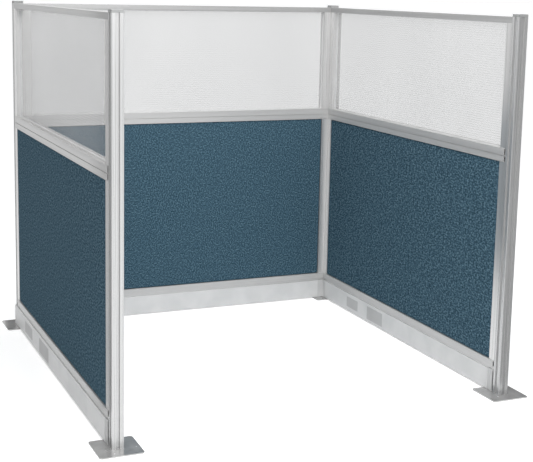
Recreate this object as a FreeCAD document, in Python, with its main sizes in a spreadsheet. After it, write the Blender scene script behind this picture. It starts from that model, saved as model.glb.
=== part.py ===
import FreeCAD, Part
import os
import re
import Sketcher

# An open-fronted cubicle workstation: four slotted aluminium posts on foot plates carry
# three walls. Each wall is a cable raceway, a fabric board in an aluminium frame, and a
# twin-wall window in a second frame on top. Millimetres; the origin is on the floor under
# the middle of the plan, +Y runs to the back wall and +Z up.

SIZES = {
    # Plan, between the centre lines of the posts
    "cubicle_width": 1879.6,
    "cubicle_depth": 1879.6,
    # Clearances shared by everything that fits
    "fit_gap": 0.3,
    "thread_gap": 0.1,
    "cut_overrun": 5,
    # Post extrusion: a square tube with a T-shaped channel in each face and a screw boss
    "post_width": 50.8,
    "post_wall": 2.2,
    "post_corner_chamfer": 1.2,
    "channel_mouth": 16.4,
    "channel_width": 20,
    "channel_lip": 2,
    "channel_depth": 7.6,
    "web_thickness": 2,
    "boss_width": 14,
    "line_inset": 4.6,
    "line_width": 0.9,
    "line_depth": 0.6,
    # Foot plate, its pegs and the countersunk bolt that holds it to the post
    "foot_size": 190,
    "foot_thickness": 5,
    "foot_corner_radius": 13,
    "foot_peg_height": 30,
    "bolt_radius": 4,
    "bolt_head_height": 4,
    "bolt_length": 45,
    "bolt_facets": 16,
    # Post cap
    "cap_height": 13,
    "cap_edge_chamfer": 1,
    "cap_peg_height": 20,
    # Levels of a wall, from the floor up
    "panel_level": 115,
    "foot_strip_height": 12,
    "bottom_rail_height": 28,
    "board_opening_height": 954,
    "panel_top_rail_height": 28,
    "split_height": 3,
    "window_bottom_rail_height": 31,
    "window_opening_height": 573,
    "window_top_rail_height": 28,
    # Rails and stiles of the two frames
    "frame_wall": 2,
    "rail_depth": 58,
    "slim_depth": 50,
    "stile_width": 40.6,
    # Fabric board: a thick core whose thin edge sits in the grooves of the frame
    "board_depth": 48,
    "board_reveal": 1.5,
    "board_corner_radius": 12,
    "tongue_thickness": 14,
    "tongue_depth": 8,
    # Window pane: twin-wall sheet with flutes along the wall
    "pane_thickness": 10,
    "pane_engagement": 10,
    "pane_skin": 0.8,
    "flute_pitch": 16,
    # Flat steel keys that locate the window frame on the panel frame
    "key_width": 24,
    "key_thickness": 4,
    # Raceway: two trays on a divider, closed by a cover on each side
    "raceway_clearance": 6,
    "raceway_depth": 62,
    "cover_height": 104,
    "cover_wall": 2,
    "cover_lip_height": 2.5,
    "cover_lip_width": 12,
    "cover_edge_chamfer": 1.2,
    "cover_end_gap": 0.5,
    "lug_length": 40,
    "top_tray_thickness": 4,
    "bottom_tray_thickness": 3,
    "tray_flange_thickness": 2,
    "tray_flange_height": 12,
    "divider_thickness": 2.5,
    # End piece of a raceway, between the covers and the post
    "end_piece_height": 107,
    "end_piece_wall": 2.5,
    "end_piece_top": 7,
    "end_piece_radius": 6,
    # Blank plates in the covers of the side walls, placed from the middle of the wall
    "blank_flange_width": 4,
    "blank_flange_thickness": 1.5,
    "inner_small_blank_width": 137,
    "inner_small_blank_offset": 516.5,
    "inner_large_blank_width": 179,
    "inner_large_blank_offset": 246.5,
    "outer_small_blank_width": 180,
    "outer_small_blank_offset": 615,
    "outer_large_blank_width": 210,
    "outer_large_blank_offset": 258,
    "small_blank_height": 60,
    "large_blank_height": 75,
    "small_blank_level": 30,
    "large_blank_level": 20,
}

# Where lugs and keys stand along a wall, as shares of half its clear length
LUG_SHARES = (-0.8, -0.27, 0.27, 0.8)
KEY_SHARES = (-0.5, 0.5)

doc = FreeCAD.newDocument("CubicleWorkstation")
sheet = doc.addObject("Spreadsheet::Sheet", "Sizes")
for row, (alias, number) in enumerate(SIZES.items(), start=1):
    sheet.set(f"A{row}", alias)
    sheet.set(f"B{row}", str(number))
    sheet.setAlias(f"B{row}", alias)
doc.recompute()

nodes = {}


def cells(words):
    """The same expression with every size's name made a reference to its cell."""
    return re.sub(r"[a-z]+(_[a-z]+)+", lambda found: f"Sizes.{found[0]}", words)


def value(words):
    """What an expression of named sizes comes to now."""
    return float(sheet.evalExpression(cells(words)))


def bind(thing, **properties):
    """Binds properties of an object to expressions of named sizes."""
    for path, words in properties.items():
        thing.setExpression(path.replace("__", "."), cells(words))


def new_body(name, x="0", y="0", turn=0):
    """A body named after its node, placed on the plan and turned about +Z."""
    body = doc.addObject("PartDesign::Body", name)
    body.Label = name
    body.Placement = FreeCAD.Placement(
        FreeCAD.Vector(value(x), value(y), 0),
        FreeCAD.Rotation(FreeCAD.Vector(0, 0, 1), turn),
    )
    bind(body, Placement__Base__x=x, Placement__Base__y=y)
    nodes[name] = body
    return body


def origin_of(body, role):
    """One of the body's own origin planes or axes."""
    return next(f for f in body.Origin.OriginFeatures if f.Role == role)


def new_sketch(body, name, plane, level):
    """An empty sketch on one of the body's own planes, moved along the plane's normal."""
    sketch = body.newObject("Sketcher::SketchObject", f"{body.Name}_{name}_sketch")
    sketch.AttachmentSupport = [(origin_of(body, plane), "")]
    sketch.MapMode = "FlatFace"
    sketch.setExpression("AttachmentOffset.Base.z", cells(level))
    return sketch


def pin_point(sketch, line, x, y):
    """Holds the start of a line at named distances."""
    for kind, words in (("DistanceX", x), ("DistanceY", y)):
        held = sketch.addConstraint(
            Sketcher.Constraint(kind, -1, 1, line, 1, value(words))
        )
        sketch.setExpression(f"Constraints[{held}]", cells(words))


def polygons(body, name, plane, loops, level="0"):
    """A sketch of closed polygons whose corners are bound to named sizes."""
    sketch = new_sketch(body, name, plane, level)
    for loop in loops:
        first = sketch.GeometryCount
        corners = [FreeCAD.Vector(value(x), value(y), 0) for x, y in loop]
        ends = corners[1:] + corners[:1]
        sketch.addGeometry([Part.LineSegment(a, b) for a, b in zip(corners, ends)], False)
        count = len(loop)
        for side in range(count):
            following = first + (side + 1) % count
            sketch.addConstraint(
                Sketcher.Constraint("Coincident", first + side, 2, following, 1)
            )
        for side, (x, y) in enumerate(loop):
            pin_point(sketch, first + side, x, y)
    return sketch


def ring(radius):
    """The corners of a small round, faceted because it repeats at every post."""
    count = int(value("bolt_facets"))
    turns = [f"({number} + 1 / 2) * 360 / bolt_facets" for number in range(count)]
    return [(f"({radius}) * cos({turn})", f"({radius}) * sin({turn})") for turn in turns]


def rectangle(x_low, x_high, y_low, y_high):
    """The corners of a rectangle, anticlockwise."""
    return [(x_low, y_low), (x_high, y_low), (x_high, y_high), (x_low, y_high)]


def centred(width, y_low, y_high):
    """The corners of a rectangle centred on the first axis."""
    return rectangle(f"-({width}) / 2", f"({width}) / 2", y_low, y_high)


def mirrored(points):
    """The points, followed by their mirror images in the second axis, in return order."""
    return points + [(f"-({x})", y) for x, y in reversed(points)]


def pad(body, sketch, length, symmetric=False, downwards=False):
    """Adds material along the sketch's normal."""
    feature = body.newObject("PartDesign::Pad", sketch.Name.replace("_sketch", "_pad"))
    feature.Profile = sketch
    feature.SideType = "Symmetric" if symmetric else "One side"
    feature.Reversed = downwards
    bind(feature, Length=length)
    body.Tip = feature
    return feature


def cut_through(body, sketch):
    """Removes the sketch's outline right through the body, both ways."""
    feature = body.newObject(
        "PartDesign::Pocket", sketch.Name.replace("_sketch", "_pocket")
    )
    feature.Profile = sketch
    feature.SideType = "Symmetric"
    feature.Type = "ThroughAll"
    body.Tip = feature
    return feature


def taper(body, lower, upper):
    """Adds a tapered block from one outline to another above it."""
    feature = body.newObject(
        "PartDesign::AdditiveLoft", lower.Name.replace("_sketch", "_taper")
    )
    feature.Profile = lower
    feature.Sections = [upper]
    feature.Ruled = True
    body.Tip = feature
    return feature


def cut_up(body, sketch, length):
    """Removes the sketch's outline upwards from its level."""
    feature = body.newObject(
        "PartDesign::Pocket", sketch.Name.replace("_sketch", "_pocket")
    )
    feature.Profile = sketch
    feature.Reversed = True
    bind(feature, Length=length)
    body.Tip = feature
    return feature


def four_ways(body, feature):
    """Repeats a feature at each quarter turn about the body's own Z axis."""
    pattern = body.newObject("PartDesign::PolarPattern", f"{feature.Name}_pattern")
    pattern.Originals = [feature]
    pattern.Axis = (origin_of(body, "Z_Axis"), [""])
    pattern.Occurrences = 4
    body.Tip = pattern
    return pattern


def pair(body):
    """Mirrors the whole body to the other end of its wall, as a second solid."""
    doc.recompute()
    mirror = body.newObject("PartDesign::Mirrored", f"{body.Name}_mirror")
    mirror.TransformMode = "Whole shape"
    mirror.MirrorPlane = (origin_of(body, "YZ_Plane"), [""])
    body.Tip = mirror
    return mirror


def dress(body, kind, size, wanted):
    """Rounds or chamfers the edges whose middle points satisfy a test."""
    doc.recompute()
    base = body.Tip
    chosen = [
        f"Edge{number}"
        for number, edge in enumerate(base.Shape.Edges, start=1)
        if wanted(edge, edge.CenterOfMass)
    ]
    feature = body.newObject(f"PartDesign::{kind}", f"{base.Name}_{kind.lower()}")
    feature.Base = (base, chosen)
    bind(feature, **{"Radius" if kind == "Fillet" else "Size": size})
    body.Tip = feature
    return feature


def near(a, b):
    """Whether two lengths agree to a small part of the fit clearance."""
    return abs(a - b) < value("fit_gap") / 10


def runs_along(edge, axis):
    """Whether a straight edge runs along one axis, 0 to 2."""
    ends = [v.Point for v in edge.Vertexes]
    return len(ends) == 2 and all(
        near(ends[0][n], ends[1][n]) for n in range(3) if n != axis
    )


# Derived levels of a wall
BOARD_LOW = "(panel_level + foot_strip_height + bottom_rail_height)"
BOARD_HIGH = f"({BOARD_LOW} + board_opening_height)"
SPLIT_LOW = f"({BOARD_HIGH} + panel_top_rail_height)"
WINDOW_BASE = f"({SPLIT_LOW} + split_height)"
PANE_LOW = f"({WINDOW_BASE} + window_bottom_rail_height)"
PANE_HIGH = f"({PANE_LOW} + window_opening_height)"
WALL_TOP = f"({PANE_HIGH} + window_top_rail_height)"
COVER_TOP = "(raceway_clearance + cover_height)"
END_PIECE_TOP = "(raceway_clearance + end_piece_height)"

# Derived halves
POST_HALF = "(post_width / 2)"
RAIL_HALF = "(rail_depth / 2)"
SLIM_HALF = "(slim_depth / 2)"
CHANNEL_HALF = "(channel_width / 2)"
MOUTH_HALF = "(channel_mouth / 2)"
COVER_HALF = "(raceway_depth / 2)"
COVER_INSIDE = "(raceway_depth / 2 - cover_wall)"
FLANGE_FACE = "(raceway_depth / 2 - cover_lip_width - fit_gap)"
BOARD_GROOVE_HALF = "(tongue_thickness / 2 + fit_gap)"
BOARD_GROOVE_DEPTH = "(tongue_depth + fit_gap)"
PANE_GROOVE_HALF = "(pane_thickness / 2 + fit_gap)"
PANE_GROOVE_DEPTH = "(pane_engagement + fit_gap)"

# Corner cavity of the post, where the pegs of the foot plate and of the cap sit
CAVITY_NEAR = f"({CHANNEL_HALF} + post_wall)"
CAVITY_FAR = f"({POST_HALF} - post_wall)"
PEG = rectangle(
    f"{CAVITY_NEAR} + fit_gap",
    f"{CAVITY_FAR} - fit_gap",
    f"{CAVITY_NEAR} + fit_gap",
    f"{CAVITY_FAR} - fit_gap",
)
BOLT_BORE = "(bolt_radius + thread_gap)"


def is_corner(half):
    """A test for the upright edges of a square column of this half width."""
    size = value(half)
    return lambda edge, middle: (
        runs_along(edge, 2) and near(abs(middle.x), size) and near(abs(middle.y), size)
    )


def post(name, x, y):
    """One extruded post: tube, four channels, webs to a central boss, and face lines."""
    body = new_body(name, x, y)
    tube = polygons(
        body, "tube", "XY_Plane", [centred("post_width", f"-{POST_HALF}", POST_HALF)],
        "foot_thickness",
    )
    pad(body, tube, f"{WALL_TOP} - foot_thickness")
    dress(body, "Chamfer", "post_corner_chamfer", is_corner(POST_HALF))
    floor = f"({POST_HALF} - channel_depth - post_wall)"
    web = "(web_thickness / 2)"
    cavity = polygons(
        body, "cavity", "XY_Plane",
        [[
            (web, web),
            (floor, web),
            (floor, CAVITY_NEAR),
            (CAVITY_FAR, CAVITY_NEAR),
            (CAVITY_FAR, CAVITY_FAR),
            (CAVITY_NEAR, CAVITY_FAR),
            (CAVITY_NEAR, floor),
            (web, floor),
        ]],
    )
    four_ways(body, cut_through(body, cavity))
    channel = polygons(
        body, "channel", "XY_Plane",
        [mirrored([
            (MOUTH_HALF, f"{POST_HALF} + cut_overrun"),
            (MOUTH_HALF, f"{POST_HALF} - channel_lip"),
            (CHANNEL_HALF, f"{POST_HALF} - channel_lip"),
            (CHANNEL_HALF, f"{POST_HALF} - channel_depth"),
        ])],
    )
    four_ways(body, cut_through(body, channel))
    line = rectangle(
        f"{POST_HALF} - line_inset - line_width",
        f"{POST_HALF} - line_inset",
        f"{POST_HALF} - line_depth",
        f"{POST_HALF} + cut_overrun",
    )
    lines = polygons(
        body, "lines", "XY_Plane", [line, [(f"-({a})", b) for a, b in reversed(line)]]
    )
    four_ways(body, cut_through(body, lines))
    boss = polygons(
        body, "boss", "XY_Plane", [centred("boss_width", "-boss_width / 2", "boss_width / 2")],
        "foot_thickness",
    )
    pad(body, boss, f"{WALL_TOP} - foot_thickness")
    cut_through(body, polygons(body, "bore", "XY_Plane", [ring(BOLT_BORE)]))


def foot_plate(name, x, y):
    """A foot plate with four pegs that enter the post and a countersunk hole below."""
    body = new_body(name, x, y)
    half = "(foot_size / 2)"
    plate = polygons(body, "plate", "XY_Plane", [centred("foot_size", f"-{half}", half)])
    pad(body, plate, "foot_thickness")
    dress(body, "Fillet", "foot_corner_radius", is_corner(half))
    peg = polygons(body, "peg", "XY_Plane", [PEG], "foot_thickness")
    four_ways(body, pad(body, peg, "foot_peg_height"))
    hole = "(bolt_radius + fit_gap)"
    cut_through(body, polygons(body, "hole", "XY_Plane", [ring(hole)]))
    reach = value(hole)
    dress(
        body, "Chamfer", "bolt_head_height",
        lambda edge, middle: near(middle.z, 0) and max(abs(middle.x), abs(middle.y)) < reach,
    )


def foot_bolt(name, x, y):
    """A countersunk bolt that runs up through the foot plate into the post's boss."""
    body = new_body(name, x, y)
    del nodes[name]
    face = polygons(body, "head", "XY_Plane", [ring("bolt_radius + bolt_head_height")])
    neck = polygons(body, "neck", "XY_Plane", [ring("bolt_radius")], "bolt_head_height")
    taper(body, face, neck)
    shank = polygons(body, "shank", "XY_Plane", [ring("bolt_radius")], "bolt_head_height")
    pad(body, shank, "bolt_length - bolt_head_height")
    return body


def post_cap(name, x, y):
    """A square cap with four pegs that push down into the post's corner cavities."""
    body = new_body(name, x, y)
    del nodes[name]
    block = polygons(
        body, "block", "XY_Plane", [centred("post_width", f"-{POST_HALF}", POST_HALF)],
        WALL_TOP,
    )
    pad(body, block, "cap_height")
    dress(body, "Chamfer", "post_corner_chamfer", is_corner(POST_HALF))
    top = value(f"{WALL_TOP} + cap_height")
    dress(body, "Chamfer", "cap_edge_chamfer", lambda edge, middle: near(middle.z, top))
    peg = polygons(body, "peg", "XY_Plane", [PEG], WALL_TOP)
    four_ways(body, pad(body, peg, "cap_peg_height", downwards=True))
    return body


def group(name, members):
    """Gathers identical pieces in one node, each still a solid of its own."""
    compound = doc.addObject("Part::Compound", name)
    compound.Label = name
    compound.Links = members
    nodes[name] = compound


CORNERS = {
    "front_left": ("-cubicle_width / 2", "-cubicle_depth / 2"),
    "front_right": ("cubicle_width / 2", "-cubicle_depth / 2"),
    "back_left": ("-cubicle_width / 2", "cubicle_depth / 2"),
    "back_right": ("cubicle_width / 2", "cubicle_depth / 2"),
}

for corner, (x, y) in CORNERS.items():
    post(f"{corner}_post", x, y)
    foot_plate(f"{corner}_foot_plate", x, y)
group("post_caps", [post_cap(f"{c}_cap", x, y) for c, (x, y) in CORNERS.items()])
group("foot_bolts", [foot_bolt(f"{c}_bolt", x, y) for c, (x, y) in CORNERS.items()])


class Wall:
    """One wall's own frame: X along it from its middle, +Y out of the cubicle, +Z up."""

    def __init__(self, side, x, y, turn, span):
        self.side = side
        self.x = x
        self.y = y
        self.turn = turn
        self.half = f"(({span} - post_width) / 2)"
        self.clear = f"(2 * {self.half})"
        self.stile = f"({self.half} - stile_width)"
        self.covered = f"(2 * {self.stile})"

    def body(self, piece):
        return new_body(f"{self.side}_{piece}", self.x, self.y, self.turn)


WALLS = [
    Wall("left", "-cubicle_width / 2", "0", 90, "cubicle_depth"),
    Wall("back", "0", "cubicle_depth / 2", 0, "cubicle_width"),
    Wall("right", "cubicle_width / 2", "0", -90, "cubicle_depth"),
]


def both_ends(wall, depth, y_half):
    """Rectangles at both ends of a wall, this deep, across its middle."""
    end = rectangle(
        f"{wall.half} - ({depth})", f"{wall.half} + cut_overrun", f"-({y_half})", y_half
    )
    return [end, [(f"-({a})", b) for a, b in reversed(end)]]


def relieve_ends(wall, body, half_depth):
    """Cuts the proud corners of a piece back, so that two walls meet round one post."""
    proud = f"({half_depth} - {POST_HALF} + fit_gap)"
    loops = []
    for sign in ("", "-"):
        for far in ("", "-"):
            loop = rectangle(
                f"{sign}({wall.half} - {proud})",
                f"{sign}({wall.half} + cut_overrun)",
                f"{far}{POST_HALF}",
                f"{far}({half_depth} + cut_overrun)",
            )
            loops.append(loop if sign == far else loop[::-1])
    cut_through(body, polygons(body, "relief", "XY_Plane", loops))


def hanging_rail(wall, piece, half, low, high, groove_half, groove_depth):
    """A hollow rail with the groove for its board or pane in the underside."""
    body = wall.body(piece)
    roof = f"{low} + {groove_depth}"
    outline = mirrored([
        (groove_half, roof), (groove_half, low), (half, low), (half, high)
    ])
    pad(body, polygons(body, "outline", "YZ_Plane", [outline]), wall.clear, symmetric=True)
    inside = mirrored([
        (f"{groove_half} + frame_wall", f"{roof} + frame_wall"),
        (f"{groove_half} + frame_wall", f"{low} + frame_wall"),
        (f"{half} - frame_wall", f"{low} + frame_wall"),
        (f"{half} - frame_wall", f"{high} - frame_wall"),
    ])
    cut_through(body, polygons(body, "hollow", "YZ_Plane", [inside]))
    return body


def standing_rail(wall, piece, foot, step, high, groove_half, groove_depth):
    """A hollow rail on a narrower foot, with the groove in its top."""
    body = wall.body(piece)
    floor = f"{high} - {groove_depth}"
    outline = mirrored([
        (SLIM_HALF, foot),
        (SLIM_HALF, step),
        (RAIL_HALF, step),
        (RAIL_HALF, high),
        (groove_half, high),
        (groove_half, floor),
    ])
    pad(body, polygons(body, "outline", "YZ_Plane", [outline]), wall.clear, symmetric=True)
    inside = mirrored([
        (f"{SLIM_HALF} - frame_wall", f"{foot} + frame_wall"),
        (f"{SLIM_HALF} - frame_wall", f"{step} + frame_wall"),
        (f"{RAIL_HALF} - frame_wall", f"{step} + frame_wall"),
        (f"{RAIL_HALF} - frame_wall", f"{high} - frame_wall"),
        (f"{groove_half} + frame_wall", f"{high} - frame_wall"),
        (f"{groove_half} + frame_wall", f"{floor} - frame_wall"),
    ])
    cut_through(body, polygons(body, "hollow", "YZ_Plane", [inside]))
    return body


def face_lines(body, half, near_edge, sign):
    """A fine line along both faces of a rail, a bead's width from its glazed edge."""
    first = f"{near_edge} {sign} line_inset"
    second = f"{near_edge} {sign} (line_inset + line_width)"
    low, high = (first, second) if sign == "+" else (second, first)
    right = rectangle(f"{half} - line_depth", f"{half} + cut_overrun", low, high)
    left = [(f"-({a})", b) for a, b in reversed(right)]
    cut_through(body, polygons(body, "lines", "YZ_Plane", [right, left]))


def strip_notch(wall, body):
    """Lets the connector strip pass the ends of a rail, right through its height."""
    loops = both_ends(wall, "channel_depth", CHANNEL_HALF)
    cut_through(body, polygons(body, "notch", "XY_Plane", loops))


def key_slots(wall, rail, level, length):
    """Cuts the slots that the joining keys pass through, upwards from a level."""
    half = "(key_thickness / 2 + fit_gap)"
    loops = [
        rectangle(
            f"{share} * {wall.half} - key_width / 2 - fit_gap",
            f"{share} * {wall.half} + key_width / 2 + fit_gap",
            f"-{half}",
            half,
        )
        for share in KEY_SHARES
    ]
    cut_up(rail, polygons(rail, "key_slots", "XY_Plane", loops, level), length)


def stiles(wall, piece, low, high, groove_half, groove_depth):
    """The two uprights of a frame: hollow, grooved inside, channelled to the post."""
    body = wall.body(piece)
    inner, outer = wall.stile, wall.half
    back = f"({inner} + {groove_depth})"
    right = [
        (back, groove_half),
        (inner, groove_half),
        (inner, SLIM_HALF),
        (outer, SLIM_HALF),
        (outer, MOUTH_HALF),
        (f"{outer} - channel_lip", MOUTH_HALF),
        (f"{outer} - channel_lip", CHANNEL_HALF),
        (f"{outer} - channel_depth", CHANNEL_HALF),
    ]
    outline = right + [(a, f"-({b})") for a, b in reversed(right)]
    sketch = polygons(body, "outline", "XY_Plane", [outline], low)
    pad(body, sketch, f"{high} - {low}")
    hollow = [
        (f"{back} + frame_wall", f"{groove_half} + frame_wall"),
        (f"{inner} + frame_wall", f"{groove_half} + frame_wall"),
        (f"{inner} + frame_wall", f"{SLIM_HALF} - frame_wall"),
        (f"{outer} - frame_wall", f"{SLIM_HALF} - frame_wall"),
        (f"{outer} - frame_wall", f"{CHANNEL_HALF} + frame_wall"),
        (f"{outer} - channel_depth - frame_wall", f"{CHANNEL_HALF} + frame_wall"),
    ]
    hollow = hollow + [(a, f"-({b})") for a, b in reversed(hollow)]
    cut_through(body, polygons(body, "hollow", "XY_Plane", [hollow]))
    line = rectangle(
        f"{inner} + line_inset",
        f"{inner} + line_inset + line_width",
        f"{SLIM_HALF} - line_depth",
        f"{SLIM_HALF} + cut_overrun",
    )
    below = [(a, f"-({b})") for a, b in reversed(line)]
    cut_through(body, polygons(body, "lines", "XY_Plane", [line, below]))
    pair(body)


def panel_frame(wall):
    """The lower frame: two rails, two stiles and the fabric board in their grooves."""
    bottom = standing_rail(
        wall, "panel_bottom_rail", "panel_level", "(panel_level + foot_strip_height)",
        BOARD_LOW, BOARD_GROOVE_HALF, BOARD_GROOVE_DEPTH,
    )
    face_lines(bottom, RAIL_HALF, BOARD_LOW, "-")
    strip_notch(wall, bottom)
    relieve_ends(wall, bottom, RAIL_HALF)
    top = hanging_rail(
        wall, "panel_top_rail", RAIL_HALF, BOARD_HIGH, SPLIT_LOW,
        BOARD_GROOVE_HALF, BOARD_GROOVE_DEPTH,
    )
    face_lines(top, RAIL_HALF, BOARD_HIGH, "+")
    strip_notch(wall, top)
    relieve_ends(wall, top, RAIL_HALF)
    key_slots(
        wall, top, f"{SPLIT_LOW} - 2 * frame_wall", "2 * frame_wall + cut_overrun"
    )
    stiles(
        wall, "panel_stiles", BOARD_LOW, BOARD_HIGH, BOARD_GROOVE_HALF, BOARD_GROOVE_DEPTH
    )
    fabric_board(wall)


def fabric_board(wall):
    """The upholstered board, its corners rounded, with a thin tongue all round."""
    body = wall.body("fabric_board")
    half_length = f"({wall.stile} - board_reveal)"
    low = f"({BOARD_LOW} + board_reveal)"
    high = f"({BOARD_HIGH} - board_reveal)"
    face = polygons(
        body, "face", "XZ_Plane", [rectangle(f"-{half_length}", half_length, low, high)]
    )
    pad(body, face, "board_depth", symmetric=True)
    dress(
        body, "Fillet", "board_corner_radius", lambda edge, middle: runs_along(edge, 1)
    )
    tongue = rectangle(
        f"-({wall.stile} + tongue_depth)",
        f"{wall.stile} + tongue_depth",
        f"{BOARD_LOW} - tongue_depth",
        f"{BOARD_HIGH} + tongue_depth",
    )
    sheet_edge = polygons(body, "tongue", "XZ_Plane", [tongue])
    pad(body, sheet_edge, "tongue_thickness", symmetric=True)


def window_frame(wall):
    """The upper frame: two rails, two stiles and the twin-wall pane."""
    bottom = standing_rail(
        wall, "window_bottom_rail", SPLIT_LOW, WINDOW_BASE, PANE_LOW,
        PANE_GROOVE_HALF, PANE_GROOVE_DEPTH,
    )
    face_lines(bottom, RAIL_HALF, PANE_LOW, "-")
    strip_notch(wall, bottom)
    relieve_ends(wall, bottom, RAIL_HALF)
    key_slots(
        wall, bottom, f"{SPLIT_LOW} - cut_overrun", "cut_overrun + 2 * frame_wall"
    )
    top = hanging_rail(
        wall, "window_top_rail", SLIM_HALF, PANE_HIGH, WALL_TOP,
        PANE_GROOVE_HALF, PANE_GROOVE_DEPTH,
    )
    face_lines(top, SLIM_HALF, PANE_HIGH, "+")
    loops = both_ends(wall, "channel_depth", CHANNEL_HALF)
    notch = polygons(top, "notch", "XY_Plane", loops, f"{PANE_HIGH} - cut_overrun")
    cut_up(top, notch, "window_top_rail_height + cut_overrun - frame_wall")
    stiles(wall, "window_stiles", PANE_LOW, PANE_HIGH, PANE_GROOVE_HALF, PANE_GROOVE_DEPTH)
    window_pane(wall)


def window_pane(wall):
    """Twin-wall sheet: two skins joined by ribs, with a row of flutes up its height."""
    body = wall.body("window_pane")
    half_length = f"({wall.stile} + pane_engagement)"
    low = f"({PANE_LOW} - pane_engagement)"
    high = f"({PANE_HIGH} + pane_engagement)"
    face = polygons(
        body, "face", "XZ_Plane", [rectangle(f"-{half_length}", half_length, low, high)]
    )
    pad(body, face, "pane_thickness", symmetric=True)
    count = int(value(f"({high} - {low} - pane_skin) / flute_pitch"))
    start = f"({low} + ({high} - {low} - {count} * flute_pitch + pane_skin) / 2)"
    flute = centred(
        "pane_thickness - 2 * pane_skin", start, f"{start} + flute_pitch - pane_skin"
    )
    pocket = cut_through(body, polygons(body, "flute", "YZ_Plane", [flute]))
    rows = body.newObject("PartDesign::LinearPattern", f"{body.Name}_flutes")
    rows.Originals = [pocket]
    rows.Direction = (origin_of(body, "Z_Axis"), [""])
    bind(rows, Length=f"{count - 1} * flute_pitch")
    rows.Occurrences = count
    body.Tip = rows


def connector_strips(wall):
    """The splines that lock a wall to its posts, in the channels of post and stile."""
    body = wall.body("connector_strips")
    reach = "(channel_depth - fit_gap)"
    neck = "(channel_lip + fit_gap)"
    head_half = f"({CHANNEL_HALF} - fit_gap)"
    neck_half = f"({MOUTH_HALF} - fit_gap)"
    upper = [
        (f"{wall.half} - {reach}", head_half),
        (f"{wall.half} - {neck}", head_half),
        (f"{wall.half} - {neck}", neck_half),
        (f"{wall.half} + {neck}", neck_half),
        (f"{wall.half} + {neck}", head_half),
        (f"{wall.half} + {reach}", head_half),
    ]
    outline = upper + [(a, f"-({b})") for a, b in reversed(upper)]
    sketch = polygons(body, "outline", "XY_Plane", [outline], END_PIECE_TOP)
    length = f"{WALL_TOP} - frame_wall - fit_gap - {END_PIECE_TOP}"
    pad(body, sketch, length)
    pair(body)


def raceway(wall):
    """The cable duct under a wall: top and bottom trays on a divider, and end pieces."""
    body = wall.body("raceway_trays")
    flange_back = f"({FLANGE_FACE} - tray_flange_thickness)"
    plate_low = "(panel_level - top_tray_thickness)"
    top = mirrored([
        (flange_back, plate_low),
        (flange_back, f"{plate_low} - tray_flange_height"),
        (FLANGE_FACE, f"{plate_low} - tray_flange_height"),
        (FLANGE_FACE, plate_low),
        (SLIM_HALF, plate_low),
        (SLIM_HALF, "panel_level"),
    ])
    plate_high = "(raceway_clearance + bottom_tray_thickness)"
    bottom = mirrored([
        (FLANGE_FACE, "raceway_clearance"),
        (FLANGE_FACE, f"{plate_high} + tray_flange_height"),
        (flange_back, f"{plate_high} + tray_flange_height"),
        (flange_back, plate_high),
    ])
    sketch = polygons(body, "outline", "YZ_Plane", [top, bottom])
    pad(body, sketch, wall.covered, symmetric=True)

    body = wall.body("raceway_divider")
    web = centred("divider_thickness", plate_high, plate_low)
    pad(
        body, polygons(body, "outline", "YZ_Plane", [web]), wall.covered, symmetric=True
    )

    body = wall.body("raceway_ends")
    side = rectangle(wall.stile, wall.half, "raceway_clearance", END_PIECE_TOP)
    pad(
        body, polygons(body, "block", "XZ_Plane", [side]), f"2 * {COVER_INSIDE}",
        symmetric=True,
    )
    near_x, top_z = value(wall.stile), value(END_PIECE_TOP)
    dress(
        body, "Fillet", "end_piece_radius",
        lambda edge, middle: near(middle.x, near_x) and near(middle.z, top_z),
    )
    duct_half = f"({COVER_INSIDE} - end_piece_wall)"
    duct = rectangle(
        f"-{duct_half}", duct_half, "raceway_clearance + end_piece_wall",
        f"{END_PIECE_TOP} - end_piece_top",
    )
    cut_through(body, polygons(body, "duct", "YZ_Plane", [duct]))
    relieve_ends(wall, body, COVER_INSIDE)
    pair(body)


def blank_openings(wall, which):
    """Width, offset along the wall, height and level of a cover's two cut-outs."""
    towards_back = "-" if wall.turn < 0 else ""
    return [
        (
            f"{which}_{kind}_blank_width",
            f"{towards_back}{which}_{kind}_blank_offset",
            f"{kind}_blank_height",
            f"{kind}_blank_level",
        )
        for kind in ("small", "large")
    ]


def opening_loop(opening, grow):
    """The outline of a cut-out, made larger or smaller all round."""
    width, offset, height, level = opening
    return rectangle(
        f"{offset} - {width} / 2 - ({grow})",
        f"{offset} + {width} / 2 + ({grow})",
        f"{level} - ({grow})",
        f"{level} + {height} + ({grow})",
    )


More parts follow.
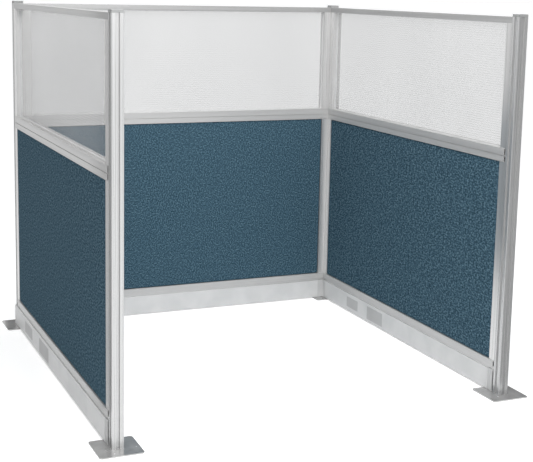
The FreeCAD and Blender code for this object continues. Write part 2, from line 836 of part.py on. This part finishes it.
def cover(wall, which):
    """A raceway cover that clips on from one side: a face, a top lip and four lugs."""
    sign = "" if which == "outer" else "-"
    body = wall.body(f"{which}_cover")
    section = [
        (COVER_HALF, "raceway_clearance"),
        (COVER_HALF, COVER_TOP),
        (f"({COVER_HALF} - cover_lip_width)", COVER_TOP),
        (f"({COVER_HALF} - cover_lip_width)", f"{COVER_TOP} - cover_lip_height"),
        (COVER_INSIDE, f"{COVER_TOP} - cover_lip_height"),
        (COVER_INSIDE, "raceway_clearance"),
    ]
    section = [(f"{sign}{across}", up) for across, up in section]
    pad(
        body, polygons(body, "section", "YZ_Plane", [section]), wall.covered,
        symmetric=True,
    )
    outside = value(COVER_HALF)
    dress(
        body, "Chamfer", "cover_edge_chamfer",
        lambda edge, middle: runs_along(edge, 0) and near(abs(middle.y), outside),
    )
    lugs = [
        rectangle(
            f"{share} * {wall.half} - lug_length / 2",
            f"{share} * {wall.half} + lug_length / 2",
            f"{sign}({FLANGE_FACE} + fit_gap)",
            f"{sign}({COVER_HALF} - cover_wall / 2)",
        )
        for share in LUG_SHARES
    ]
    lug_sketch = polygons(body, "lugs", "XY_Plane", lugs, "raceway_clearance")
    pad(body, lug_sketch, "bottom_tray_thickness")
    if wall.side == "back":
        return
    openings = blank_openings(wall, which)
    holes = [opening_loop(opening, "0") for opening in openings]
    cut_through(body, polygons(body, "cutouts", "XZ_Plane", holes))

    blanks = wall.body(f"{which}_blanks")
    plates = [opening_loop(opening, "-fit_gap") for opening in openings]
    middle = f"{COVER_HALF} - cover_wall / 2"
    level = f"-({middle})" if which == "outer" else middle
    sketch = polygons(blanks, "plates", "XZ_Plane", plates, level)
    pad(blanks, sketch, "cover_wall", symmetric=True)
    flanges = [opening_loop(opening, "blank_flange_width") for opening in openings]
    middle = f"{COVER_INSIDE} - blank_flange_thickness / 2"
    level = f"-({middle})" if which == "outer" else middle
    sketch = polygons(blanks, "flanges", "XZ_Plane", flanges, level)
    pad(blanks, sketch, "blank_flange_thickness", symmetric=True)


def corner_cover(name, x, y, turn):
    """The L-shaped cover round the outside of a back post, at the raceway's height."""
    body = new_body(name, x, y, turn)
    reach = "(post_width / 2 + stile_width - cover_end_gap)"
    leg = polygons(
        body, "legs", "XY_Plane",
        [[
            (f"-{COVER_HALF}", f"-{reach}"),
            (f"-{COVER_INSIDE}", f"-{reach}"),
            (f"-{COVER_INSIDE}", COVER_INSIDE),
            (reach, COVER_INSIDE),
            (reach, COVER_HALF),
            (f"-{COVER_HALF}", COVER_HALF),
        ]],
        "raceway_clearance",
    )
    pad(body, leg, "cover_height")
    lip = f"({POST_HALF} + fit_gap)"
    stop = f"({COVER_INSIDE} - fit_gap)"
    seat = polygons(
        body, "lip", "XY_Plane",
        [[
            (f"-({COVER_HALF} - cover_wall / 2)", f"-{stop}"),
            (f"-{lip}", f"-{stop}"),
            (f"-{lip}", lip),
            (stop, lip),
            (stop, f"{COVER_HALF} - cover_wall / 2"),
            (f"-({COVER_HALF} - cover_wall / 2)", f"{COVER_HALF} - cover_wall / 2"),
        ]],
        f"{COVER_TOP} - cover_lip_height",
    )
    pad(body, seat, "cover_lip_height")


def joining_keys():
    """Steel keys from each panel top rail up into the window bottom rail."""
    low = f"({BOARD_HIGH} + {BOARD_GROOVE_DEPTH} + frame_wall)"
    high = f"({PANE_LOW} - {PANE_GROOVE_DEPTH} - frame_wall - fit_gap)"
    keys = []
    for wall in WALLS:
        for number, share in enumerate(KEY_SHARES, start=1):
            along = (f"{share} * {wall.half} - key_width / 2", "key_width")
            across = ("-key_thickness / 2", "key_thickness")
            over_x, over_y = (along, across) if wall.turn == 0 else (across, along)
            key = doc.addObject("Part::Box", f"{wall.side}_key_{number}")
            bind(
                key, Length=over_x[1], Width=over_y[1], Height=f"{high} - {low}",
                Placement__Base__x=f"{wall.x} + {over_x[0]}",
                Placement__Base__y=f"{wall.y} + {over_y[0]}",
                Placement__Base__z=low,
            )
            keys.append(key)
    group("window_joining_keys", keys)


for wall in WALLS:
    raceway(wall)
    cover(wall, "inner")
    cover(wall, "outer")
    panel_frame(wall)
    window_frame(wall)
    connector_strips(wall)
corner_cover("back_left_corner_cover", *CORNERS["back_left"], 0)
corner_cover("back_right_corner_cover", *CORNERS["back_right"], -90)
joining_keys()
doc.recompute()

failed = [o.Name for o in doc.Objects if {"Invalid", "Error"} & set(o.State)]
for name, node in nodes.items():
    if node.Shape.isNull() or not node.Shape.isValid() or not node.Shape.Solids:
        failed.append(name)
if failed:
    raise RuntimeError(f"These pieces failed: {failed}")

os.makedirs("parts", exist_ok=True)
for name, node in nodes.items():
    node.Shape.exportStep(f"parts/{name}.step")
print(len(nodes), "nodes,", sum(len(n.Shape.Solids) for n in nodes.values()), "solids")
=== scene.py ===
import math

import bpy
from mathutils import Matrix, Vector


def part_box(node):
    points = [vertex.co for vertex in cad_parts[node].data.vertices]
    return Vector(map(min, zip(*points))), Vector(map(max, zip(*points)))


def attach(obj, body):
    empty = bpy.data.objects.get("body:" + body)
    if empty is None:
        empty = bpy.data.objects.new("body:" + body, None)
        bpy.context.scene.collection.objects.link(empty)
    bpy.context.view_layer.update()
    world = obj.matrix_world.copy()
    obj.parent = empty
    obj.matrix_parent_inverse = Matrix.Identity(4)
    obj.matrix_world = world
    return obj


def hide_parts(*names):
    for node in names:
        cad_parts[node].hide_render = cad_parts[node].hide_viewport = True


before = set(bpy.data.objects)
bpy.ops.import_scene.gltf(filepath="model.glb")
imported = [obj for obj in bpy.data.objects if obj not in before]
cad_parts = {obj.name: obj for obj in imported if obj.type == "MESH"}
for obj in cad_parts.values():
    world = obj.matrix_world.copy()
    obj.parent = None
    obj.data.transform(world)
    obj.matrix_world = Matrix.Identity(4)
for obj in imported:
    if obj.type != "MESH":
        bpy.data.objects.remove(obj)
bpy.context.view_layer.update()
scene = bpy.context.scene
scene.view_settings.view_transform = "Standard"

# The viewpoint: a long lens at standing height, outside the front left corner, turned
# towards the back right one and tipped down a little.
IMAGE_WIDTH = 533
SENSOR = 36.0
FOCAL_PIXELS = 1157.06
EYE = Vector((-2.19994, -5.31214, 1.87357))
TURN_RIGHT = math.radians(23.58)
TIP_DOWN = math.radians(9.26)
ROLL = math.radians(1.18)
RISE_SHIFT = -0.10

forward = Vector((
    math.sin(TURN_RIGHT) * math.cos(TIP_DOWN),
    math.cos(TURN_RIGHT) * math.cos(TIP_DOWN),
    -math.sin(TIP_DOWN),
))
level = Vector((math.cos(TURN_RIGHT), -math.sin(TURN_RIGHT), 0))
upright = level.cross(forward)
across = level * math.cos(ROLL) + upright * math.sin(ROLL)
upwards = upright * math.cos(ROLL) - level * math.sin(ROLL)

lens = bpy.data.cameras.new("studio_camera")
lens.sensor_width = SENSOR
lens.lens = FOCAL_PIXELS / IMAGE_WIDTH * SENSOR
lens.shift_y = RISE_SHIFT
camera = bpy.data.objects.new("studio_camera", lens)
camera.matrix_world = (
    Matrix.Translation(EYE) @ Matrix((across, upwards, -forward)).transposed().to_4x4()
)
scene.collection.objects.link(camera)
scene.camera = camera

# The studio: a pale sweep of floor, a white surround whose light dims towards the left,
# three soft lamps, and small grey flags beside three of the posts, which only mirrored
# and bent rays see: they paint darker reflections into the posts and the foot plates.
FLOOR_SIZE = 400.0
FLOOR_COLOUR = (0.86, 0.86, 0.86, 1)
FLOOR_GLOW = 0.43
WHITE = (1, 1, 1, 1)
SURROUND_LIGHT = (0.78, 0.785, 0.79, 1)
SURROUND_SHADE = (0.16, 0.165, 0.17, 1)
SHADE_FROM = Vector((-0.95, 0.3, 0.05)).normalized()
SHADE_STARTS = 0.25
SHADE_FULL = 0.9
# Each lamp's name, place, the point that it looks at, its width in metres and its watts.
LAMPS = (
    ("ceiling_lamp", (-0.4, -0.9, 4.6), (0.4, 0.3, 0.6), 3.4, 90),
    ("front_lamp", (-1.3, -6.4, 3.4), (0, 0, 0.9), 3.0, 98),
    ("inside_lamp", (-0.7, -1.7, 2.7), (0.94, 0.3, 0.5), 1.4, 12),
)
UPRIGHT = math.radians(90)
FLAG_TURN = math.radians(38)
# The grey of the flags, which shows in the metal only as painted shade in its
# reflections.
REFLECTION_SHADE_COLOUR = (0.25, 0.25, 0.25, 1)
# Each flag's place, its turn, and its width and height in metres.
REFLECTION_SHADE_FLAGS = (
    ((1.09, -1.15, 1.1), (UPRIGHT, 0, FLAG_TURN), (0.22, 2.18, 1)),
    ((1.05, -1.22, 0.002), (0, 0, FLAG_TURN), (0.34, 0.28, 1)),
    ((1.24, -0.74, 0.3), (UPRIGHT, 0, -FLAG_TURN), (0.4, 0.5, 1)),
    ((-0.79, 1.32, 0.12), (UPRIGHT, 0, 0), (0.34, 0.24, 1)),
    ((-1.13, -0.58, 0.92), (UPRIGHT, 0, 0), (0.17, 1.8, 1)),
)
# The colour sockets of a Mix node, which share their names with its plain numbers' ones.
MIX_FIRST, MIX_SECOND, MIXED = 6, 7, 2


def start_finish(name, **settings):
    """A new finish and its shader, with the settings that are the same all over it."""
    finish = bpy.data.materials.new(name)
    finish.use_nodes = True
    shader = finish.node_tree.nodes["Principled BSDF"]
    for socket, setting in settings.items():
        shader.inputs[socket.replace("_", " ")].default_value = setting
    return finish, shader


def backdrop_rays(tree):
    """1 for rays that see the white background: the camera's, mirrored and bent ones."""
    path = tree.nodes.new("ShaderNodeLightPath")
    either = tree.nodes.new("ShaderNodeMath")
    either.operation = "MAXIMUM"
    any_of = tree.nodes.new("ShaderNodeMath")
    any_of.operation = "MAXIMUM"
    tree.links.new(path.outputs["Is Camera Ray"], either.inputs[0])
    tree.links.new(path.outputs["Is Glossy Ray"], either.inputs[1])
    tree.links.new(either.outputs[0], any_of.inputs[0])
    tree.links.new(path.outputs["Is Transmission Ray"], any_of.inputs[1])
    return any_of.outputs[0]


for name, place, aim, width, watts in LAMPS:
    glow = bpy.data.lights.new(name, "AREA")
    glow.size = width
    glow.energy = watts
    lamp = bpy.data.objects.new(name, glow)
    lamp.location = place
    lamp.rotation_mode = "QUATERNION"
    lamp.rotation_quaternion = (Vector(aim) - Vector(place)).to_track_quat("-Z", "Y")
    scene.collection.objects.link(lamp)

bpy.ops.object.select_all(action="DESELECT")
bpy.ops.mesh.primitive_plane_add(size=FLOOR_SIZE)
floor = bpy.context.object
floor.name = "studio_floor"
floor_finish, floor_shader = start_finish(
    "studio_floor", Base_Color=FLOOR_COLOUR, Roughness=1.0, Specular_IOR_Level=0.0,
    Emission_Color=WHITE,
)
floor_tree = floor_finish.node_tree
floor_glow = floor_tree.nodes.new("ShaderNodeMath")
floor_glow.operation = "MULTIPLY"
floor_glow.inputs[1].default_value = FLOOR_GLOW
floor_tree.links.new(backdrop_rays(floor_tree), floor_glow.inputs[0])
floor_tree.links.new(floor_glow.outputs[0], floor_shader.inputs["Emission Strength"])
floor.data.materials.append(floor_finish)

# The flags only paint darker reflections: camera rays, diffuse light and shadows pass
# them by.
reflection_shade_finish, _ = start_finish("reflection_shade_flag", Base_Color=REFLECTION_SHADE_COLOUR, Roughness=1.0)
for place, turn, reach in REFLECTION_SHADE_FLAGS:
    bpy.ops.object.select_all(action="DESELECT")
    bpy.ops.mesh.primitive_plane_add(size=1, location=place, rotation=turn)
    flag = bpy.context.object
    flag.name = "reflection_shade_flag"
    flag.scale = reach
    flag.visible_camera = False
    flag.visible_diffuse = False
    flag.visible_shadow = False
    flag.data.materials.append(reflection_shade_finish)

world = bpy.data.worlds.new("studio_surround")
scene.world = world
world.use_nodes = True
sky = world.node_tree
sky_light = sky.nodes["Background"]
sky_light.inputs["Strength"].default_value = 1
sky_place = sky.nodes.new("ShaderNodeTexCoord")
sky_facing = sky.nodes.new("ShaderNodeVectorMath")
sky_facing.operation = "DOT_PRODUCT"
sky_facing.inputs[1].default_value = SHADE_FROM
sky_tone = sky.nodes.new("ShaderNodeValToRGB")
sky_tone.color_ramp.elements[0].position = SHADE_STARTS
sky_tone.color_ramp.elements[0].color = SURROUND_LIGHT
sky_tone.color_ramp.elements[1].position = SHADE_FULL
sky_tone.color_ramp.elements[1].color = SURROUND_SHADE
sky_seen = sky.nodes.new("ShaderNodeMix")
sky_seen.data_type = "RGBA"
sky_seen.inputs[MIX_SECOND].default_value = WHITE
sky.links.new(sky_place.outputs["Generated"], sky_facing.inputs[0])
sky.links.new(sky_facing.outputs["Value"], sky_tone.inputs["Fac"])
sky.links.new(backdrop_rays(sky), sky_seen.inputs[0])
sky.links.new(sky_tone.outputs["Color"], sky_seen.inputs[MIX_FIRST])
sky.links.new(sky_seen.outputs[MIXED], sky_light.inputs["Color"])

# Posts: square aluminium extrusions, sawn to length and satin anodised, with fine lines
# drawn along them by the die.
CORNERS = ("front_left", "front_right", "back_left", "back_right")
POST_TONES = ((0.54, 0.542, 0.545, 1), (0.6, 0.602, 0.6, 1))
DRAWN_GLOSS = 0.3
# Die lines and broader bands: so many to a metre across an extrusion, and along it.
LINES = (700.0, 1.2)
BANDS = (60.0, 0.7)
LINE_DEPTH = 0.00004
# The part of a pattern's levels over which a finish changes.
WIDE_PART = (0.3, 0.7)
NARROW_PART = (0.35, 0.65)


def cloud(finish, scales, detail):
    """Soft random patches in the piece's own metres, so many to one along X, Y, Z."""
    nodes, links = finish.node_tree.nodes, finish.node_tree.links
    place = nodes.new("ShaderNodeTexCoord")
    spread = nodes.new("ShaderNodeMapping")
    spread.inputs["Scale"].default_value = scales
    patches = nodes.new("ShaderNodeTexNoise")
    patches.inputs["Scale"].default_value = 1
    patches.inputs["Detail"].default_value = detail
    links.new(place.outputs["Object"], spread.inputs["Vector"])
    links.new(spread.outputs["Vector"], patches.inputs["Vector"])
    return patches.outputs["Fac"]


def tint(finish, shader, pattern, levels, tones):
    """Colours a finish by a pattern, with a tone for each of these levels of it."""
    nodes, links = finish.node_tree.nodes, finish.node_tree.links
    ramp = nodes.new("ShaderNodeValToRGB")
    stops = ramp.color_ramp.elements
    while len(stops) < len(tones):
        stops.new(0.5)
    for stop, at, tone in zip(stops, levels, tones):
        stop.position = at
        stop.color = tone
    links.new(pattern, ramp.inputs["Fac"])
    links.new(ramp.outputs["Color"], shader.inputs["Base Color"])


def polish(finish, shader, pattern, roughness):
    """Lets the roughness move between two limits with a pattern's wide part."""
    nodes, links = finish.node_tree.nodes, finish.node_tree.links
    limits = nodes.new("ShaderNodeMapRange")
    for kind, (low, high) in (("From", WIDE_PART), ("To", roughness)):
        limits.inputs[f"{kind} Min"].default_value = low
        limits.inputs[f"{kind} Max"].default_value = high
    links.new(pattern, limits.inputs["Value"])
    links.new(limits.outputs["Result"], shader.inputs["Roughness"])


def emboss(finish, shader, pattern, height):
    """Raises the surface with a pattern, by a height in metres."""
    nodes, links = finish.node_tree.nodes, finish.node_tree.links
    bump = nodes.new("ShaderNodeBump")
    bump.inputs["Distance"].default_value = height
    links.new(pattern, bump.inputs["Height"])
    links.new(bump.outputs["Normal"], shader.inputs["Normal"])


def drawn(along, pattern):
    """A pattern's scales along X, Y, Z where it is drawn out along one of them."""
    wide, lengthwise = pattern
    return [lengthwise if axis == along else wide for axis in "XYZ"]


def anodised(name, along, tones, roughness, metal):
    """Satin anodised aluminium with die lines that run along one axis."""
    finish, shader = start_finish(name, Metallic=metal, Anisotropic=DRAWN_GLOSS)
    lines = cloud(finish, drawn(along, LINES), detail=3.0)
    bands = cloud(finish, drawn(along, BANDS), detail=1.0)
    tint(finish, shader, bands, WIDE_PART, tones)
    polish(finish, shader, lines, roughness)
    emboss(finish, shader, lines, LINE_DEPTH)
    return finish


def dress(finish, *names):
    """Gives carried-over pieces their finish."""
    for name in names:
        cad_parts[name].material_slots[0].material = finish


post_finish = anodised(
    "post_anodised", "Z", POST_TONES, roughness=(0.24, 0.36), metal=0.62
)
dress(post_finish, *[f"{corner}_post" for corner in CORNERS])

# Foot plates: 5 mm steel, laser cut with round corners and polished, each bolted up
# into its post by a zinc plated countersunk screw.
STEEL_TONES = ((0.46, 0.46, 0.455, 1), (0.56, 0.56, 0.555, 1))
STEEL_ROUGHNESS = (0.16, 0.28)
SCRATCHES = (900, 40, 900)
SCRATCH_DEPTH = 0.00002
SMEARS = (14, 14, 14)
ZINC_TONES = ((0.42, 0.42, 0.4, 1), (0.56, 0.56, 0.53, 1))
SPANGLE = (260, 260, 260)

steel, steel_shader = start_finish("polished_steel", Metallic=0.6)
scratches = cloud(steel, SCRATCHES, detail=4.0)
smears = cloud(steel, SMEARS, detail=3.0)
tint(steel, steel_shader, smears, NARROW_PART, STEEL_TONES)
polish(steel, steel_shader, smears, STEEL_ROUGHNESS)
emboss(steel, steel_shader, scratches, SCRATCH_DEPTH)
dress(steel, *[f"{corner}_foot_plate" for corner in CORNERS])

zinc, zinc_shader = start_finish("zinc_plate", Metallic=1.0, Roughness=0.36)
spangle = cloud(zinc, SPANGLE, detail=2.0)
tint(zinc, zinc_shader, spangle, NARROW_PART, ZINC_TONES)
dress(zinc, "foot_bolts")

# Post caps: moulded grey plastic with a fine spark-eroded grain, pushed into the tops
# of the posts.
CAP_TONES = ((0.28, 0.285, 0.285, 1), (0.36, 0.365, 0.365, 1))
GRAIN = (1400, 1400, 1400)
DRIFT = (9, 9, 9)


def moulded(name, tones, roughness, grain_height, gloss=0.5):
    """Plastic with a fine even grain and a slight drift of tone."""
    finish, shader = start_finish(name, Roughness=roughness, Specular_IOR_Level=gloss)
    grain = cloud(finish, GRAIN, detail=2.0)
    drift = cloud(finish, DRIFT, detail=2.0)
    tint(finish, shader, drift, NARROW_PART, tones)
    emboss(finish, shader, grain, grain_height)
    return finish


cap_plastic = moulded("cap_plastic", CAP_TONES, roughness=0.5, grain_height=0.00006)
dress(cap_plastic, "post_caps")

# Raceways: rigid vinyl covers with a satin face clip over mill finish aluminium trays.
# The blank plates in the side covers and the end pieces are moulded, a shade darker.
SIDES = ("left", "back", "right")
RUNS = {"left": "Y", "back": "X", "right": "Y"}
VINYL_TONES = ((0.66, 0.665, 0.665, 1), (0.72, 0.72, 0.72, 1))
BLANK_TONES = ((0.48, 0.48, 0.48, 1), (0.53, 0.53, 0.53, 1))
END_TONES = ((0.56, 0.565, 0.565, 1), (0.62, 0.62, 0.62, 1))
TRAY_TONES = ((0.55, 0.55, 0.55, 1), (0.66, 0.66, 0.66, 1))

vinyl = moulded(
    "raceway_vinyl", VINYL_TONES, roughness=0.38, grain_height=0.00003, gloss=0.8
)
blank_vinyl = moulded("blank_vinyl", BLANK_TONES, roughness=0.5, grain_height=0.00008)
end_vinyl = moulded("end_vinyl", END_TONES, roughness=0.45, grain_height=0.00005)
tray_mill = {
    run: anodised(
        f"tray_mill_{run.lower()}", run, TRAY_TONES, roughness=(0.25, 0.4), metal=0.5
    )
    for run in "XY"
}
for side, run in RUNS.items():
    dress(vinyl, f"{side}_inner_cover", f"{side}_outer_cover")
    dress(end_vinyl, f"{side}_raceway_ends")
    dress(tray_mill[run], f"{side}_raceway_trays", f"{side}_raceway_divider")
for side in ("left", "right"):
    dress(vinyl, f"back_{side}_corner_cover")
    dress(blank_vinyl, f"{side}_inner_blanks", f"{side}_outer_blanks")

# Frames: hollow rails and stiles of the same satin aluminium, with painted shade making
# it darker along the tops of the windows and painted light making it lighter on the
# stiles.
# Vinyl connector strips lock them to the posts, and flat zinc plated keys set each
# window frame on the panel frame below it.
RAIL_TONES = ((0.53, 0.528, 0.525, 1), (0.59, 0.588, 0.583, 1))
RAIL_ROUGHNESS = (0.3, 0.42)
# Painted shade: the window top rails are the same aluminium as the other rails, made
# darker.
PAINTED_SHADE_TOP_TONES = ((0.41, 0.41, 0.41, 1), (0.49, 0.49, 0.49, 1))
# Painted light: the stiles are the same aluminium again, made lighter.
PAINTED_LIGHT_STILE_TONES = ((0.63, 0.628, 0.625, 1), (0.71, 0.708, 0.705, 1))
STRIP_TONES = ((0.22, 0.22, 0.225, 1), (0.28, 0.28, 0.285, 1))

lit_stile_finish = anodised(
    "lit_stile_anodised", "Z", PAINTED_LIGHT_STILE_TONES, roughness=(0.26, 0.38), metal=0.7
)
rail_finish = {
    run: anodised(f"rail_{run}", run, RAIL_TONES, RAIL_ROUGHNESS, metal=0.3)
    for run in "XY"
}
shaded_top_rail_finish = {
    run: anodised(f"top_rail_{run}", run, PAINTED_SHADE_TOP_TONES, RAIL_ROUGHNESS, metal=0.5)
    for run in "XY"
}
strip_vinyl = moulded("strip_vinyl", STRIP_TONES, roughness=0.6, grain_height=0.00005)
for side, run in RUNS.items():
    for rail in ("panel_bottom_rail", "panel_top_rail", "window_bottom_rail"):
        dress(rail_finish[run], f"{side}_{rail}")
    dress(shaded_top_rail_finish[run], f"{side}_window_top_rail")
    dress(lit_stile_finish, f"{side}_panel_stiles", f"{side}_window_stiles")
    dress(strip_vinyl, f"{side}_connector_strips")
dress(zinc, "window_joining_keys")

# Fabric boards: an acoustic core wrapped in heathered panel fabric, with soft rounded
# edges, on a thin tongue all round that sits in the grooves of the panel frame.
HEATHER = (165, 72, 130)
HEATHER_HEIGHT = 0.0008
HEATHER_LEVELS = (0.32, 0.5, 0.7)
HEATHER_TONES = (
    (0.019, 0.046, 0.068, 1), (0.05, 0.102, 0.143, 1), (0.14, 0.235, 0.295, 1),
)
THROUGH = {"left": 0, "back": 1, "right": 0}
TONGUE_THICKNESS = 0.014
TONGUE_DEPTH = 0.008
BOARD_REVEAL = 0.0015
BOARD_DEPTH = 0.048
BOARD_CORNER = 0.012
BOARD_SOFTNESS = 0.006
BOARD_HEM = 0.004
SQUARE_ON = 0.9
TOUCH = 1e-5
SMOOTH_UNDER = math.radians(40)


def block(name, place, size, finish):
    """A box of one finish, with its place and size in its mesh, ready to be shaped."""
    bpy.ops.object.select_all(action="DESELECT")
    bpy.ops.mesh.primitive_cube_add(size=1, location=place, scale=size)
    bpy.ops.object.transform_apply(location=True, rotation=True, scale=True)
    piece = bpy.context.object
    piece.name = name
    piece.data.materials.append(finish)
    return piece


def mark(piece, kind, wanted):
    """Selects only those faces or edges of a piece, in edit mode, that pass a test."""
    bpy.ops.object.mode_set(mode="EDIT")
    bpy.ops.mesh.select_mode(type=kind)
    bpy.ops.mesh.select_all(action="DESELECT")
    bpy.ops.object.mode_set(mode="OBJECT")
    for item in piece.data.polygons if kind == "FACE" else piece.data.edges:
        item.select = wanted(item)
    bpy.ops.object.mode_set(mode="EDIT")


fabric, fabric_shader = start_finish(
    "heather_fabric", Roughness=0.95, Specular_IOR_Level=0.03, Sheen_Weight=0.015
)
mottle = cloud(fabric, HEATHER, detail=2.0)
tint(fabric, fabric_shader, mottle, HEATHER_LEVELS, HEATHER_TONES)
emboss(fabric, fabric_shader, mottle, HEATHER_HEIGHT)

for side in SIDES:
    node = f"{side}_fabric_board"
    board_low, board_high = (Vector(corner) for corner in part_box(node))
    middle = (board_low + board_high) / 2
    size = board_high - board_low
    through = THROUGH[side]
    size[through] = TONGUE_THICKNESS
    board = block(f"{side}_padded_board", middle, size, fabric)
    mark(board, "FACE", lambda face: abs(face.normal[through]) > SQUARE_ON)
    bpy.ops.mesh.inset(thickness=BOARD_REVEAL + TONGUE_DEPTH, use_individual=True)
    bpy.ops.mesh.extrude_region_shrink_fatten(
        TRANSFORM_OT_shrink_fatten={"value": (BOARD_DEPTH - TONGUE_THICKNESS) / 2}
    )

    def stands_out(edge):
        """Whether an edge runs from the tongue out to a face of the board."""
        a, b = (board.data.vertices[number].co for number in edge.vertices)
        return abs((a - b)[through]) > TONGUE_THICKNESS + TOUCH

    def on_face(item):
        """Whether an edge or a face lies wholly on one of the board's two faces."""
        return all(
            abs(abs((board.data.vertices[number].co - middle)[through])
                - BOARD_DEPTH / 2) < TOUCH
            for number in item.vertices
        )

    mark(board, "EDGE", stands_out)
    bpy.ops.mesh.bevel(offset=BOARD_CORNER, segments=6, profile=0.5, affect="EDGES")
    mark(board, "EDGE", on_face)
    bpy.ops.mesh.bevel(offset=BOARD_SOFTNESS, segments=4, profile=0.5, affect="EDGES")
    mark(board, "FACE", on_face)
    bpy.ops.mesh.inset(thickness=BOARD_HEM, use_individual=True)
    bpy.ops.object.mode_set(mode="OBJECT")
    bpy.ops.object.shade_smooth_by_angle(angle=SMOOTH_UNDER)
    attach(board, "root")
    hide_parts(node)

# Window panes: twin-wall polycarbonate, translucent skins on level ribs, cut to size,
# with its open edges closed by a white tape, held in the grooves of the window frame.
SHEET_TONES = ((0.35, 0.352, 0.355, 1), (0.45, 0.45, 0.45, 1))
SHEET_DRIFT = (2.2, 2.2, 0.9)
SHEET_WAVES = (4, 4, 220)
WAVE_HEIGHT = 0.00002
SHEET_EDGE = 0.0005
SKIN_THICKNESS = 0.0008
RIB_THICKNESS = 0.0008
RIB_PITCH = 0.011
SHEET_ENGAGEMENT = 0.010
TAPE_SHOWS = 0.002
TAPE_THICKNESS = 0.00015
TAPE_TONES = ((0.78, 0.785, 0.79, 1), (0.84, 0.84, 0.84, 1))

rib_finish, _ = start_finish(
    "twin_wall_rib", Base_Color=SHEET_TONES[1], Roughness=0.5, Alpha=0.05
)
sheet_finish, sheet_shader = start_finish("twin_wall_sheet", Roughness=0.3, Alpha=0.235)
clouding = cloud(sheet_finish, SHEET_DRIFT, detail=1.0)
tint(sheet_finish, sheet_shader, clouding, NARROW_PART, SHEET_TONES)
waves = cloud(sheet_finish, SHEET_WAVES, detail=1.0)
emboss(sheet_finish, sheet_shader, waves, WAVE_HEIGHT)
tape_finish = moulded(
    "pane_edge_tape", TAPE_TONES, roughness=0.45, grain_height=0.00002
)

for side in SIDES:
    node = f"{side}_window_pane"
    pane_low, pane_high = (Vector(corner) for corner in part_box(node))
    middle = (pane_low + pane_high) / 2
    size = pane_high - pane_low
    through = THROUGH[side]
    skins = block(f"{side}_pane_skins", middle, size, sheet_finish)
    mark(skins, "EDGE", lambda edge: True)
    bpy.ops.mesh.bevel(offset=SHEET_EDGE, segments=2, profile=0.5, affect="EDGES")
    bpy.ops.object.mode_set(mode="OBJECT")
    bpy.ops.object.shade_smooth_by_angle(angle=SMOOTH_UNDER)
    tape_size = size.copy()
    tape_size[through] += 2 * TAPE_THICKNESS
    tape = block(f"{side}_pane_tape", middle, tape_size, tape_finish)
    mark(tape, "FACE", lambda face: abs(face.normal[through]) > SQUARE_ON)
    bpy.ops.mesh.inset(thickness=SHEET_ENGAGEMENT + TAPE_SHOWS, use_individual=True)
    bpy.ops.mesh.bridge_edge_loops()
    bpy.ops.object.mode_set(mode="OBJECT")
    rib_count = int(size.z / RIB_PITCH)
    rib_size = size - Vector((2 * SKIN_THICKNESS,) * 3)
    rib_size.z = RIB_THICKNESS
    rib_place = middle.copy()
    rib_place.z -= (rib_count - 1) * RIB_PITCH / 2
    pane = block(f"{side}_twin_wall_pane", rib_place, rib_size, rib_finish)
    rows = pane.modifiers.new("ribs", "ARRAY")
    rows.count = rib_count
    rows.use_relative_offset = False
    rows.use_constant_offset = True
    rows.constant_offset_displace = (0, 0, RIB_PITCH)
    bpy.ops.object.modifier_apply(modifier=rows.name)
    skins.select_set(True)
    tape.select_set(True)
    bpy.ops.object.join()
    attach(pane, "root")
    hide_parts(node)
